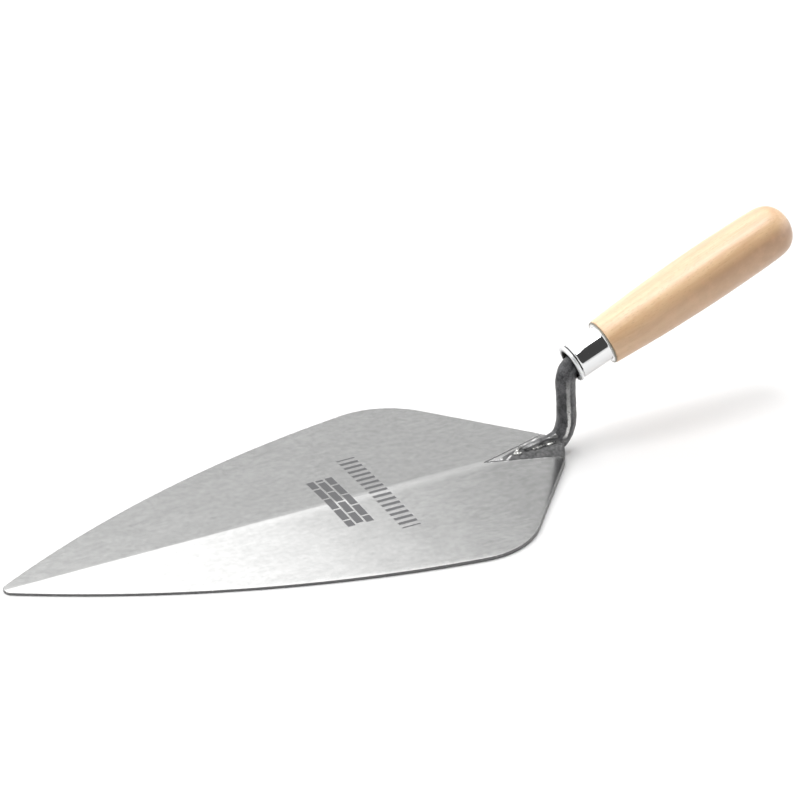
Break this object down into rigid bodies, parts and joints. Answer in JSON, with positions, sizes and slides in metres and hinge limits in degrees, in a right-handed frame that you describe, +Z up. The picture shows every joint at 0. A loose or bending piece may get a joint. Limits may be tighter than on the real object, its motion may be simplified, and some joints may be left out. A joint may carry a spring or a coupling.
{
  "type": "brick trowel",
  "caption": "London-pattern brick trowel: ridged ground-steel blade, welded cranked tang, chromed ferrule and turned wooden handle.",
  "frame": {"origin": "middle of the bounding box at the bottom, on the plane of the blade's flat underside", "axes": "+X from the blade's tip to the end of the handle, +Y across the blade, +Z up from the blade's flat underside"},
  "size_m": [0.3954, 0.138, 0.1015],
  "materials": {
    "ground_steel": "ground lengthwise facets with a fine satin grain, dark oxide left on the bolster",
    "forged_steel": "black forging scale, slightly rough with a soft gloss",
    "weld_metal": "rippled weld bead, partly bright",
    "ferrule_chrome": "polished chrome plate",
    "handle_wood": "turned beech with clear gloss lacquer"
  },
  "bodies": {
    "root": {"blade": "ground_steel", "tang": "forged_steel", "weld_left": "weld_metal", "weld_right": "weld_metal", "weld_toe": "weld_metal", "ferrule": "ferrule_chrome", "handle": "handle_wood"}
  },
  "joints": []
}
